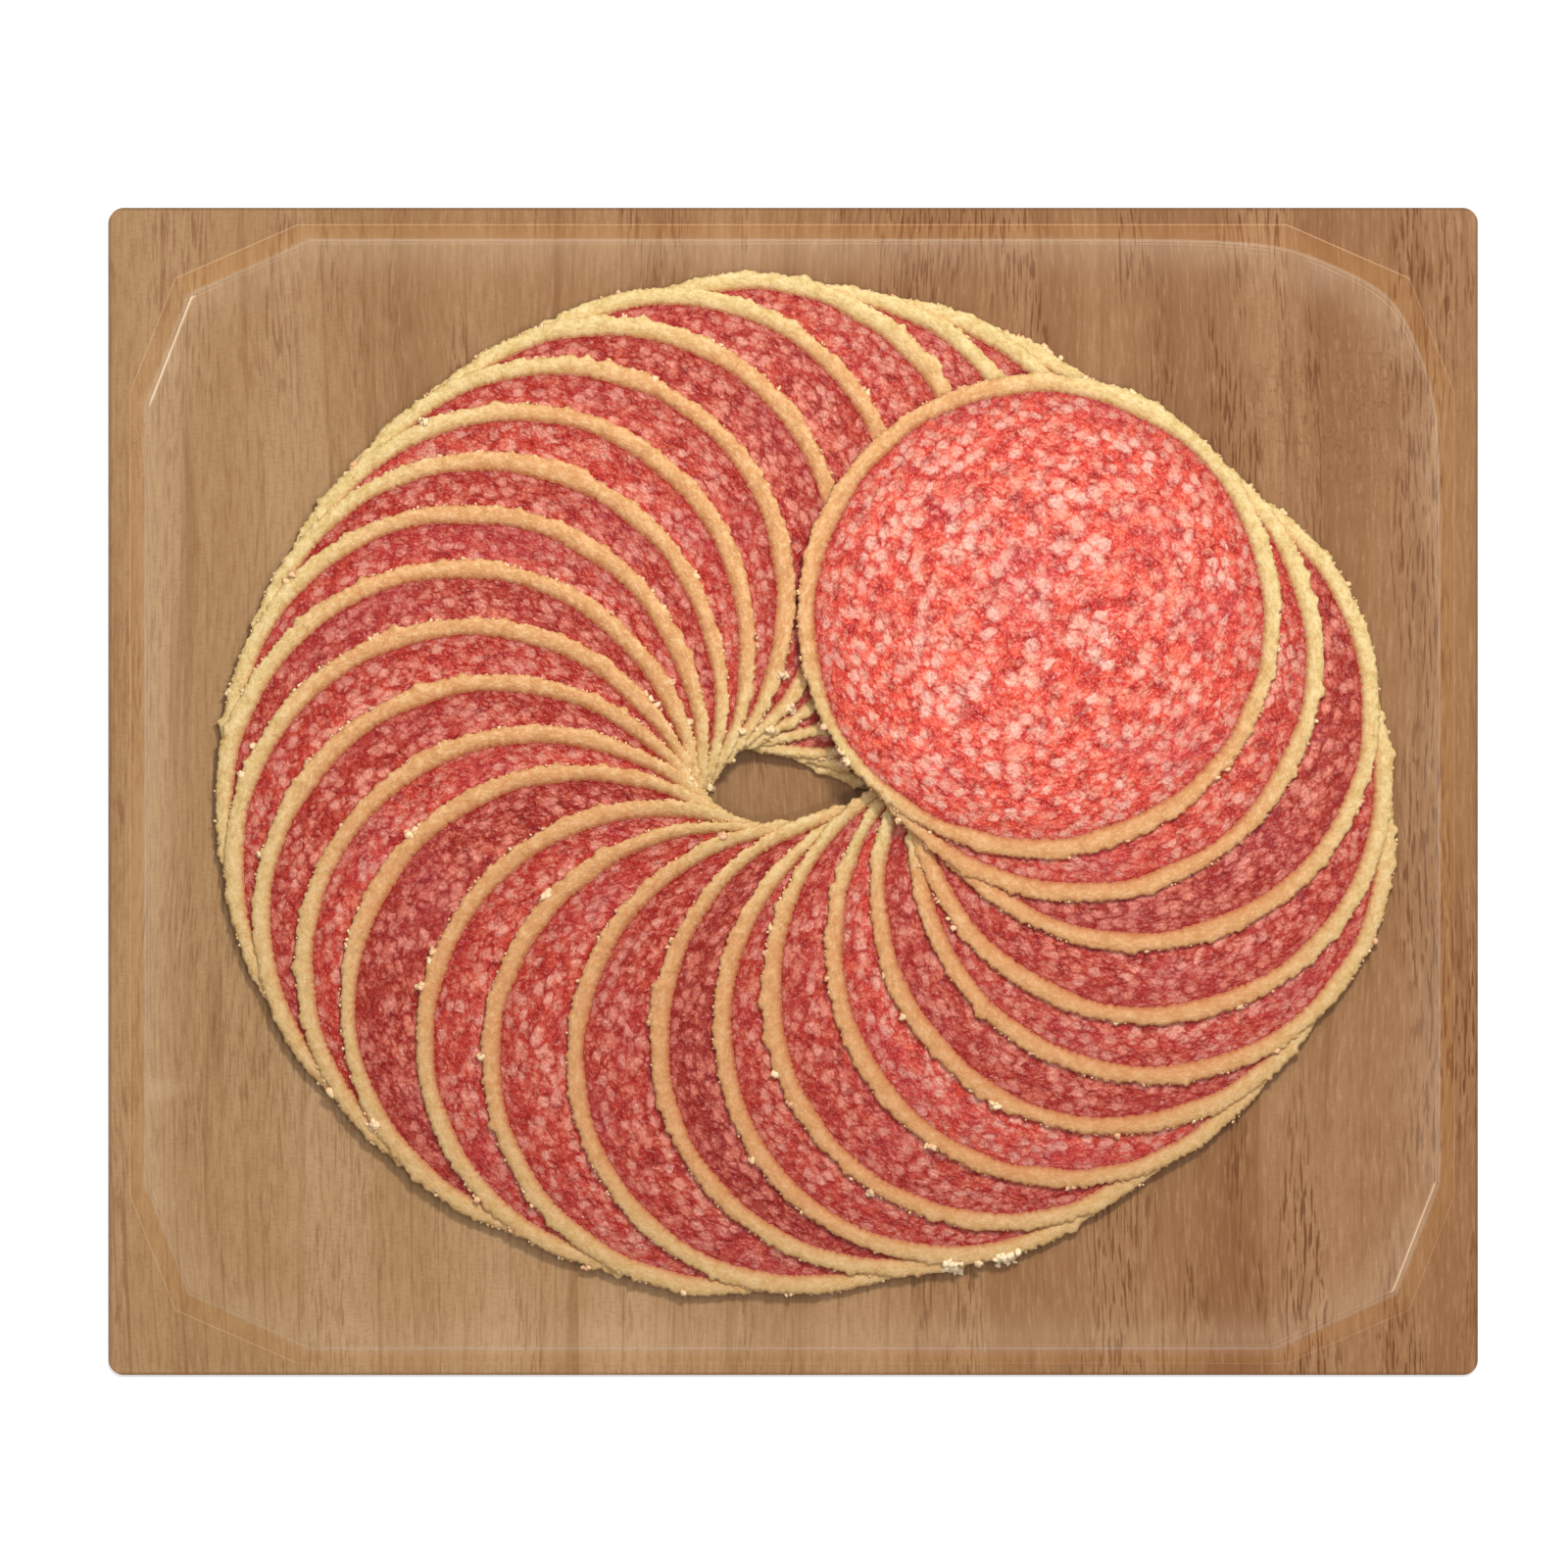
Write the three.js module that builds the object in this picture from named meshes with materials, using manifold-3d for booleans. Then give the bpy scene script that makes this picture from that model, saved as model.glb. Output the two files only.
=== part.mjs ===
// A sealed retail pack of sliced cured sausage: thin round slices laid in an overlapping ring on a flat
// backing sheet, under a clear thermoformed dome. Millimetres, +Z up, the pack's long side along X.
// The origin is the centre of the backing sheet's underside.
import * as THREE from "three";
import { mergeVertices } from "three/addons/utils/BufferGeometryUtils.js";
import Module from "manifold-3d";

const wasm = await Module();
wasm.setup();

// The backing sheet and the dome's flange share one outline, a rectangle with small round corners.
const PACK_LENGTH = 200;
const PACK_WIDTH = 170.5;
const PACK_CORNER_RADIUS = 2.2;
const CORNER_STEPS = 4;
const BACKING_THICKNESS = 0.5;

// The dome: a flange, a wall that leans in, a round shoulder and a flat top.
const FILM_THICKNESS = 0.5;
const DOME_TOP_Z = 13;
const FOOT_LENGTH = 193.4;
const FOOT_WIDTH = 166.3;
const FOOT_OFFSET_X = -0.15;
const FOOT_OFFSET_Y = -0.4;
const WALL_LEAN = 2.5;
const SHOULDER_DROP = 1.3;
const SHOULDER_INSET = 1.5;

// Each corner of the dome is cut off by two flats that meet at a blunt point.
const CORNER_CUT = 24.5;
const CORNER_POINT_X = 6.6;
const CORNER_POINT_Y = 7.8;

// The slices are laid anticlockwise round an oval path, each on top of those before it.
const SLICE_COUNT = 28;
const SLICE_RADIUS = 35.3;
const SLICE_THICKNESS = 0.45;
const LAYER_PITCH = 0.75;
const SEAT_GAP = 0.3;
const LEAST_GAP = 0.14;
const DRAPE_REACH = 14;
const PATH_CENTRE_X = 0.5;
const PATH_CENTRE_Y = 0.5;
const PATH_RADIUS_X = 50;
const PATH_RADIUS_Y = 39.5;
const LAYING_STEP = 9.8;
const FIRST_SLICE_ANGLE = THREE.MathUtils.degToRad(63.3);

// The ring isn't laid evenly: slow waves along and across the path and in the slices' radius, and a few
// slices that slipped.
// A wave is [turns in the whole ring, height in mm, phase in degrees].
const ALONG_WAVES = [[1, 2.6, 101], [2, 1.9, -76]];
const ACROSS_WAVES = [[3, 1.45, -86], [4, 0.85, -63]];
const ACROSS_SHIFT = -0.2;
const RADIUS_WAVES = [[2, 0.55, -167]];
// Slice number: [mm further along the path, mm further out].
const SLIPS = {
  1: [1.8, -0.3], 3: [-1, -0.6], 4: [-1.3, 0.2], 15: [-1.7, 0.3], 17: [-1.1, 0.3], 19: [1.6, -0.4],
  20: [0.2, 1.3], 21: [-1.4, 0], 23: [0.6, -0.7], 24: [-0.3, 0.9], 25: [-1.4, -0.5], 26: [-0.5, 0.9],
  27: [0.3, -1.3],
};

// How finely a slice is faceted: its sectors, and its rings as shares of the radius.
const SLICE_SECTORS = 28;
const SLICE_RINGS = [0.42, 0.78, 1];
const PROBE_STEPS = 5;
const PATH_SAMPLES = 3600;


const BACKING_LOOK = new THREE.MeshStandardMaterial({ color: 0xa8804f, roughness: 0.55, metalness: 0 });
const DOME_LOOK = new THREE.MeshStandardMaterial({
  color: 0xe9eef0, roughness: 0.1, metalness: 0, transparent: true, opacity: 0.25,
});
const SLICE_LOOK = new THREE.MeshStandardMaterial({ color: 0xc2554a, roughness: 0.5, metalness: 0 });

// ---------------------------------------------------------------- solids

// A closed body from rings of points, bottom ring first, each ring anticlockwise seen from above and
// all of one length. Each end is closed by a fan round the middle point given for it.
function lathedBody(rings, bottomMiddle, topMiddle) {
  const count = rings[0].length;
  const points = [...rings.flat(), bottomMiddle, topMiddle];
  const bottom = points.length - 2;
  const top = points.length - 1;
  const lastRing = (rings.length - 1) * count;
  const faces = [];
  for (let i = 0; i < count; i++) {
    const next = (i + 1) % count;
    faces.push(bottom, next, i);
    faces.push(top, lastRing + i, lastRing + next);
    for (let ring = 0; ring < rings.length - 1; ring++) {
      const low = ring * count;
      const high = low + count;
      faces.push(low + i, low + next, high + next);
      faces.push(low + i, high + next, high + i);
    }
  }
  const geometry = new THREE.BufferGeometry();
  geometry.setAttribute("position", new THREE.Float32BufferAttribute(points.flat(), 3));
  geometry.setIndex(faces);
  return geometry;
}

function toSolid(geometry) {
  const bare = geometry.clone();
  bare.deleteAttribute("normal");
  bare.deleteAttribute("uv");
  const merged = mergeVertices(bare, 1e-4);
  return new wasm.Manifold(new wasm.Mesh({
    numProp: 3,
    vertProperties: new Float32Array(merged.attributes.position.array),
    triVerts: new Uint32Array(merged.index.array),
  }));
}

function toGeometry(solid) {
  const mesh = solid.getMesh();
  const geometry = new THREE.BufferGeometry();
  geometry.setAttribute("position", new THREE.Float32BufferAttribute(mesh.vertProperties, 3));
  geometry.setIndex(Array.from(mesh.triVerts));
  geometry.computeVertexNormals();
  return geometry;
}

// ---------------------------------------------------------------- backing sheet and flange

function packOutline() {
  const x = PACK_LENGTH / 2;
  const y = PACK_WIDTH / 2;
  const r = PACK_CORNER_RADIUS;
  const outline = new THREE.Shape();
  outline.moveTo(-x + r, -y);
  outline.lineTo(x - r, -y);
  outline.absarc(x - r, -y + r, r, -Math.PI / 2, 0, false);
  outline.lineTo(x, y - r);
  outline.absarc(x - r, y - r, r, 0, Math.PI / 2, false);
  outline.lineTo(-x + r, y);
  outline.absarc(-x + r, y - r, r, Math.PI / 2, Math.PI, false);
  outline.lineTo(-x, -y + r);
  outline.absarc(-x + r, -y + r, r, Math.PI, 1.5 * Math.PI, false);
  return outline;
}

function packPlate(thickness) {
  return new THREE.ExtrudeGeometry(packOutline(), {
    depth: thickness, bevelEnabled: false, curveSegments: CORNER_STEPS,
  });
}

// ---------------------------------------------------------------- dome

// The dome's foot outline, anticlockwise, about its own centre.
function footOutline() {
  const x = FOOT_LENGTH / 2;
  const y = FOOT_WIDTH / 2;
  const corner = [
    [x, y - CORNER_CUT],
    [x - CORNER_POINT_X, y - CORNER_POINT_Y],
    [x - CORNER_CUT, y],
  ];
  const mirrored = corner.map(([px, py]) => [-px, py]).reverse();
  const upper = [...corner, ...mirrored];
  return [...upper, ...upper.map(([px, py]) => [-px, -py])];
}

// A convex outline moved in by a distance, all sides alike.
function movedIn(outline, distance) {
  const count = outline.length;
  const inward = (a, b) => {
    const length = Math.hypot(b[0] - a[0], b[1] - a[1]);
    return [-(b[1] - a[1]) / length, (b[0] - a[0]) / length];
  };
  return outline.map((point, i) => {
    const before = inward(outline[(i + count - 1) % count], point);
    const after = inward(point, outline[(i + 1) % count]);
    const scale = distance / (1 + before[0] * after[0] + before[1] * after[1]);
    return [point[0] + (before[0] + after[0]) * scale, point[1] + (before[1] + after[1]) * scale];
  });
}

function domeRing(inset, z) {
  return movedIn(footOutline(), inset).map(([x, y]) => [x + FOOT_OFFSET_X, y + FOOT_OFFSET_Y, z]);
}

// The block under the dome's surface, or the room inside it when a film thickness is given.
function domeBlock(bottomZ, film) {
  const shoulderZ = DOME_TOP_Z - SHOULDER_DROP;
  const rings = [
    domeRing(film, bottomZ),
    domeRing(film, BACKING_THICKNESS + FILM_THICKNESS),
    domeRing(film + WALL_LEAN, shoulderZ - film * 0.6),
    domeRing(film + WALL_LEAN + SHOULDER_INSET * 0.3, DOME_TOP_Z - SHOULDER_DROP * 0.35 - film * 0.8),
    domeRing(film + WALL_LEAN + SHOULDER_INSET, DOME_TOP_Z - film),
  ];
  const bottomMiddle = [FOOT_OFFSET_X, FOOT_OFFSET_Y, bottomZ];
  const topMiddle = [FOOT_OFFSET_X, FOOT_OFFSET_Y, DOME_TOP_Z - film];
  return toSolid(lathedBody(rings, bottomMiddle, topMiddle));
}

function domeGeometry() {
  const flange = toSolid(packPlate(FILM_THICKNESS).translate(0, 0, BACKING_THICKNESS));
  const outside = domeBlock(BACKING_THICKNESS, 0);
  const room = domeBlock(0, FILM_THICKNESS);
  return toGeometry(outside.add(flange).subtract(room));
}

// ---------------------------------------------------------------- slices

// The oval path as a table of distance along it against angle, so that steps along it can be even.
function pathTable() {
  const table = [{ angle: 0, distance: 0 }];
  let last = [PATH_RADIUS_X, 0];
  for (let i = 1; i <= PATH_SAMPLES; i++) {
    const angle = (i / PATH_SAMPLES) * 2 * Math.PI;
    const point = [PATH_RADIUS_X * Math.cos(angle), PATH_RADIUS_Y * Math.sin(angle)];
    const step = Math.hypot(point[0] - last[0], point[1] - last[1]);
    table.push({ angle, distance: table[i - 1].distance + step });
    last = point;
  }
  return table;
}

const PATH = pathTable();
const PATH_LENGTH = PATH[PATH_SAMPLES].distance;

function angleAtDistance(distance) {
  const wanted = THREE.MathUtils.euclideanModulo(distance, PATH_LENGTH);
  return PATH.find((entry) => entry.distance >= wanted).angle;
}

function distanceAtAngle(angle) {
  return PATH.find((entry) => entry.angle >= angle).distance;
}

function waveSum(waves, index) {
  return waves.reduce((sum, [turns, height, phase]) => {
    const angle = (2 * Math.PI * turns * index) / SLICE_COUNT + THREE.MathUtils.degToRad(phase);
    return sum + height * Math.sin(angle);
  }, 0);
}

// Where a slice lies: its middle and its radius. Index 0 is the slice laid first.
function slicePlace(index) {
  const [slipAlong, slipOut] = SLIPS[index + 1] ?? [0, 0];
  const along = index * LAYING_STEP + waveSum(ALONG_WAVES, index) + slipAlong;
  const angle = angleAtDistance(distanceAtAngle(FIRST_SLICE_ANGLE) + along);
  const out = ACROSS_SHIFT + waveSum(ACROSS_WAVES, index) + slipOut;
  const normal = new THREE.Vector2(PATH_RADIUS_Y * Math.cos(angle), PATH_RADIUS_X * Math.sin(angle));
  normal.normalize();
  return {
    x: PATH_CENTRE_X + PATH_RADIUS_X * Math.cos(angle) + out * normal.x,
    y: PATH_CENTRE_Y + PATH_RADIUS_Y * Math.sin(angle) + out * normal.y,
    radius: SLICE_RADIUS + waveSum(RADIUS_WAVES, index),
  };
}

const PLACES = Array.from({ length: SLICE_COUNT }, (_, index) => slicePlace(index));

// A slice lifts what lies on it by one layer over its own disc, and less and less just outside it,
// because the slices above bridge its edge.
function lift(place, x, y) {
  const beyond = Math.hypot(x - place.x, y - place.y) - place.radius;
  if (beyond <= 0) return LAYER_PITCH;
  if (beyond >= DRAPE_REACH) return 0;
  return LAYER_PITCH * 0.5 * (1 + Math.cos((Math.PI * beyond) / DRAPE_REACH));
}

// The height of a slice's underside: the backing, and the lift of every slice laid before it.
function undersideZ(index, x, y) {
  const below = PLACES.slice(0, index);
  return BACKING_THICKNESS + SEAT_GAP + below.reduce((sum, place) => sum + lift(place, x, y), 0);
}

// The corners of a slice's underside, ring by ring from the inside, and its middle last.
function undersidePoints(index) {
  const { x, y, radius } = PLACES[index];
  const points = SLICE_RINGS.flatMap((share) => Array.from({ length: SLICE_SECTORS }, (_, i) => {
    const angle = (2 * Math.PI * i) / SLICE_SECTORS;
    return [x + radius * share * Math.cos(angle), y + radius * share * Math.sin(angle)];
  }));
  return [...points, [x, y]].map(([px, py]) => [px, py, undersideZ(index, px, py)]);
}

// The facets of one face of a slice, as triples of corner numbers.
function faceTriangles() {
  const triangles = [];
  const middle = SLICE_RINGS.length * SLICE_SECTORS;
  for (let i = 0; i < SLICE_SECTORS; i++) {
    const next = (i + 1) % SLICE_SECTORS;
    triangles.push([middle, i, next]);
    for (let ring = 0; ring < SLICE_RINGS.length - 1; ring++) {
      const near = ring * SLICE_SECTORS;
      const far = near + SLICE_SECTORS;
      triangles.push([near + i, far + i, far + next], [near + i, far + next, near + next]);
    }
  }
  return triangles;
}

const FACE_TRIANGLES = faceTriangles();

// The height of a faceted face at a point, or -Infinity off the face.
function facetHeight(points, x, y) {
  for (const [i, j, k] of FACE_TRIANGLES) {
    const [a, b, c] = [points[i], points[j], points[k]];
    const area = (b[0] - a[0]) * (c[1] - a[1]) - (c[0] - a[0]) * (b[1] - a[1]);
    const toB = ((x - a[0]) * (c[1] - a[1]) - (c[0] - a[0]) * (y - a[1])) / area;
    const toC = ((b[0] - a[0]) * (y - a[1]) - (x - a[0]) * (b[1] - a[1])) / area;
    if (toB >= 0 && toC >= 0 && toB + toC <= 1) {
      return a[2] + toB * (b[2] - a[2]) + toC * (c[2] - a[2]);
    }
  }
  return -Infinity;
}

// Where a facet is probed for contact: evenly spread shares of its three corners.
function facetProbes() {
  const probes = [];
  for (let i = 0; i <= PROBE_STEPS; i++) {
    for (let j = 0; i + j <= PROBE_STEPS; j++) {
      probes.push([i / PROBE_STEPS, j / PROBE_STEPS, 1 - (i + j) / PROBE_STEPS]);
    }
  }
  return probes;
}

const PROBES = facetProbes();

// Raises the corners of a slice's underside wherever a flat facet would cut into a slice below it.
function settle(points, below) {
  const raise = points.map(() => 0);
  for (const triangle of FACE_TRIANGLES) {
    const corners = triangle.map((number) => points[number]);
    const lack = Math.max(...PROBES.map((shares) => {
      const [x, y, z] = [0, 1, 2].map((axis) => (
        corners.reduce((sum, corner, n) => sum + shares[n] * corner[axis], 0)
      ));
      const support = Math.max(-Infinity, ...below.map((lower) => facetHeight(lower, x, y)));
      return support + SLICE_THICKNESS + LEAST_GAP - z;
    }));
    triangle.forEach((number) => { raise[number] = Math.max(raise[number], lack); });
  }
  points.forEach((point, number) => { point[2] += raise[number]; });
}

function laidSlices() {
  const laid = [];
  PLACES.forEach((_, index) => {
    const points = undersidePoints(index);
    settle(points, laid);
    laid.push(points);
  });
  return laid;
}

// A slice about its own middle, from the corners of its underside.
function sliceGeometry(points, { x, y }) {
  const local = points.map(([px, py, pz]) => [px - x, py - y, pz]);
  const middle = local.pop();
  const raised = ([px, py, pz]) => [px, py, pz + SLICE_THICKNESS];
  const under = SLICE_RINGS.map((_, i) => local.slice(i * SLICE_SECTORS, (i + 1) * SLICE_SECTORS));
  const over = under.map((ring) => ring.map(raised)).reverse();
  return lathedBody([...under, ...over], middle, raised(middle));
}

// ---------------------------------------------------------------- the pack

function addPiece(group, name, geometry, material, x = 0, y = 0) {
  const mesh = new THREE.Mesh(geometry, material);
  mesh.name = name;
  mesh.position.set(x, y, 0);
  group.add(mesh);
}

const pack = new THREE.Group();
addPiece(pack, "backing", packPlate(BACKING_THICKNESS), BACKING_LOOK);
addPiece(pack, "dome", domeGeometry(), DOME_LOOK);

const slices = new THREE.Group();
laidSlices().forEach((points, index) => {
  const place = PLACES[index];
  const name = `slice_${String(index + 1).padStart(2, "0")}`;
  addPiece(slices, name, sliceGeometry(points, place), SLICE_LOOK, place.x, place.y);
});
pack.add(slices);

export default pack;
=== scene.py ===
"""Looks for a pack of sliced cured sausage.

The pack holds a ring of crust-edged slices, under a clear dome on a printed sheet.

Lengths are metres. The slices' and the sheet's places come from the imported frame's boxes. The
slices lie by the same drape rule as the frame's solids, so the fine meshes stand where the plain
ones do.
"""

import math

import bmesh
import bpy
import numpy as np
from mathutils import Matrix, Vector


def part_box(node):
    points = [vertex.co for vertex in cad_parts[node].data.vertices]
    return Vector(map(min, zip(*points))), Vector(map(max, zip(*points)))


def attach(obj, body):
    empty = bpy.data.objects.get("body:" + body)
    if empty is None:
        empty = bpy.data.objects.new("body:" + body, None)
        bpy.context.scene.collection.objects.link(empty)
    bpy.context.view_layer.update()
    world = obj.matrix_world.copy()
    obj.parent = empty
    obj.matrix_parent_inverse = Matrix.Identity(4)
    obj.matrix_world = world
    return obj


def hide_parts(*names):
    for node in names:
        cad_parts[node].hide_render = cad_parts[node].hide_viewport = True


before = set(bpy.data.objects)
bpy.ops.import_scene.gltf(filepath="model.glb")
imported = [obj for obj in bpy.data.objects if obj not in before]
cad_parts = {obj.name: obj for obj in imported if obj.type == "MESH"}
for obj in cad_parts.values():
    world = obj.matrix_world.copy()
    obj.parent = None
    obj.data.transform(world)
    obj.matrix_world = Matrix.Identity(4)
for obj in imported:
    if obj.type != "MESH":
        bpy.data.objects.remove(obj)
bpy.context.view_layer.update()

MM = 0.001
SLICES = sorted(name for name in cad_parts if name.startswith("slice_"))
TOP_SLICE = len(SLICES) - 1

# How the slices lie, as in the frame.
LAYER_PITCH = 0.75 * MM
DRAPE_REACH = 14 * MM
SEAT_GAP = 0.3 * MM

# A slice: a thin meat disc with a thicker crust ring round it.
MEAT_THICKNESS = 0.6 * MM
CRUST_WIDTH = 2.75 * MM
CRUST_BULGE = 0.5 * MM
COVERED_BULGE = 0.05 * MM

# Crusts are narrower near the ring's middle, over a stretch that is wider than it is high.
HOLE_CRUST_SHARE = 0.74
HOLE_REACH = (10 * MM, 30 * MM)
HOLE_WIDENESS = 1.25

# The crust's section from its inner to its outer edge: shares of its width and of its bulge.
CRUST_SHARES = (0.0, 0.05, 0.14, 0.28, 0.45, 0.62, 0.78, 0.9, 0.97, 1.0)
CRUST_HEIGHTS = (0.0, 0.2, 0.5, 0.8, 0.98, 1.0, 0.88, 0.62, 0.25, -0.25)

# How rough a crust is: its edge's waves, grain and bumps, its width's waves and grain, and its
# top's grain. A bump's half width is an angle.
EDGE_INSET = 0.26 * MM
EDGE_WAVE = 0.08 * MM
EDGE_GRAIN = 0.075 * MM
EDGE_BUMPS = 90
BUMP_HALF_WIDTH = (0.4 / 35, 0.9 / 35)
BUMP_HEIGHT = (0.05 * MM, 0.36 * MM)
WIDTH_WAVE = 0.12 * MM
WIDTH_GRAIN = 0.07 * MM
CRUST_GRAIN = 0.02 * MM

# The meat's outermost stretch, where it darkens, and how high it ripples.
MEAT_EDGE = 0.7 * MM
MEAT_RIPPLE = 0.035 * MM

# How fine the slices' meshes are.
RIM_STEPS = 7200
SHOWN_SPACING = 0.28 * MM
HIDDEN_SPACING = 1.2 * MM
MEAT_RINGS = 13
TOP_MEAT_RINGS = 20

# How far apart two slices' stretches of grain are.
GRAIN_STRETCH = 0.1

# How much the film shows where it is seen edge on: its level parts, and its walls.
SLANT_HAZE = (0.3, 0.11)

# A painted highlight along a small fold in the film, near the dome's left wall. The film's
# shape has no fold.
FOLD_Y = -43.3 * MM
FOLD_ENDS = (-94.1 * MM, -84 * MM)

# The curly patch in the backing's print.
FIGURE_CENTRE = (80 * MM, 56 * MM)
FIGURE_RADIUS = 21 * MM

rng = np.random.default_rng(28)


# ---------------------------------------------------------------- small helpers


def srgb(r, g, b):
    """A colour given as 0-255 display values, as linear RGBA."""
    def linear(value):
        value /= 255
        return value / 12.92 if value <= 0.04045 else ((value + 0.055) / 1.055) ** 2.4
    return linear(r), linear(g), linear(b), 1.0


def smooth_step(low, high, value):
    t = np.clip((value - low) / (high - low), 0, 1)
    return t * t * (3 - 2 * t)


def round_noise(angles, slowest, fastest, steepness=0.5):
    """Noise of about unit height round a circle, from waves of slowest to fastest turns."""
    turns = np.arange(slowest, fastest + 1)
    heights = turns ** -steepness * rng.normal(size=len(turns))
    phases = rng.uniform(0, 2 * math.pi, len(turns))
    waves = heights * np.sin(np.outer(angles, turns) + phases)
    return waves.sum(axis=1) / math.sqrt((turns ** (-2 * steepness)).sum() / 2)


def mesh_object(name, vertices, faces, materials, face_materials=None):
    mesh = bpy.data.meshes.new(name)
    mesh.from_pydata([tuple(v) for v in vertices], [], [tuple(f) for f in faces])
    for material in materials:
        mesh.materials.append(material)
    if face_materials is not None:
        mesh.polygons.foreach_set("material_index", np.asarray(face_materials, dtype=np.int32))
    mesh.polygons.foreach_set("use_smooth", [True] * len(mesh.polygons))
    mesh.update()
    piece = bpy.data.objects.new(name, mesh)
    bpy.context.collection.objects.link(piece)
    return piece


def add_attribute(piece, name, values):
    """A number at each vertex, for the materials to read."""
    attribute = piece.data.attributes.new(name, "FLOAT", "POINT")
    attribute.data.foreach_set("value", np.asarray(values, dtype=np.float32))


# ---------------------------------------------------------------- material helpers


class Nodes:
    """A short way to write a material's node tree."""

    def __init__(self, name):
        self.material = bpy.data.materials.new(name)
        self.material.use_nodes = True
        self.tree = self.material.node_tree
        self.shader = self.tree.nodes["Principled BSDF"]

    def new(self, kind, inputs=None, **settings):
        node = self.tree.nodes.new("ShaderNode" + kind)
        for key, value in settings.items():
            setattr(node, key, value)
        for key, value in (inputs or {}).items():
            self.put(value, node.inputs[key])
        return node

    def put(self, value, socket):
        if isinstance(value, bpy.types.NodeSocket):
            self.tree.links.new(value, socket)
        else:
            socket.default_value = value

    def set(self, **inputs):
        for key, value in inputs.items():
            self.put(value, self.shader.inputs[key.replace("_", " ")])

    def math(self, operation, a, b=0.0, c=0.0, clamp=False):
        node = self.new("Math", {0: a, 1: b, 2: c}, operation=operation, use_clamp=clamp)
        return node.outputs[0]

    def ramp(self, factor, *stops):
        """A colour ramp; each stop is (position, colour)."""
        node = self.new("ValToRGB", {0: factor})
        elements = node.color_ramp.elements
        while len(elements) < len(stops):
            elements.new(0.5)
        for element, (position, colour) in zip(elements, stops):
            element.position = position
            element.color = colour
        return node.outputs[0]

    def mix(self, factor, a, b):
        node = self.new("Mix", data_type="RGBA")
        self.put(factor, node.inputs["Factor"])
        self.put(a, node.inputs[6])
        self.put(b, node.inputs[7])
        return node.outputs[2]

    def span(self, value, low, high, new_low=0.0, new_high=1.0):
        """A number moved from one range to another, and held inside it."""
        node = self.new("MapRange", {0: value, 1: low, 2: high, 3: new_low, 4: new_high})
        return node.outputs[0]

    def soft_span(self, value, low, high):
        """1 at the low end, 0 at the high end, with soft ends between."""
        inputs = {0: value, 1: high, 2: low}
        return self.new("MapRange", inputs, interpolation_type="SMOOTHSTEP").outputs[0]

    def noise(self, vector, scale, detail=3.0, roughness=0.5, distortion=0.0):
        inputs = {"Vector": vector, "Scale": scale, "Detail": detail, "Roughness": roughness,
                  "Distortion": distortion}
        return self.new("TexNoise", inputs, noise_dimensions="2D").outputs["Fac"]

    def bits(self, vector, scale, core, edge):
        """Round bits side by side: how much of a bit is at a point, and a number for each bit."""
        cells = self.new("TexVoronoi", {"Vector": vector, "Scale": scale}, voronoi_dimensions="2D")
        tone = self.new("SeparateColor", {0: cells.outputs["Color"]}).outputs[0]
        return self.soft_span(cells.outputs["Distance"], core, edge), tone

    def vector(self, operation, *inputs):
        return self.new("VectorMath", dict(enumerate(inputs)), operation=operation).outputs[0]

    def grain_place(self):
        """The place in a slice's own grain, which differs from slice to slice."""
        return self.new("Attribute", attribute_name="grain").outputs["Vector"]

    def attribute(self, name):
        return self.new("Attribute", attribute_name=name).outputs["Fac"]

    def position(self):
        return self.new("TexCoord").outputs["Object"]

    def along(self):
        """The place along the pack's shorter side, which is its Y."""
        return self.new("SeparateXYZ", {0: self.position()}).outputs[1]

    def stretched_noise(self, vector, across, along, detail, roughness=0.5, distortion=0.0):
        """Noise of so many blotches a metre across the pack and along it."""
        place = self.new("Mapping", {"Vector": vector, "Scale": (across, along, 1)}).outputs[0]
        return self.noise(place, 1.0, detail, roughness, distortion)

    def bump(self, height, distance, strength):
        inputs = {"Height": height, "Distance": distance, "Strength": strength}
        return self.new("Bump", inputs).outputs[0]


# ---------------------------------------------------------------- materials


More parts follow.
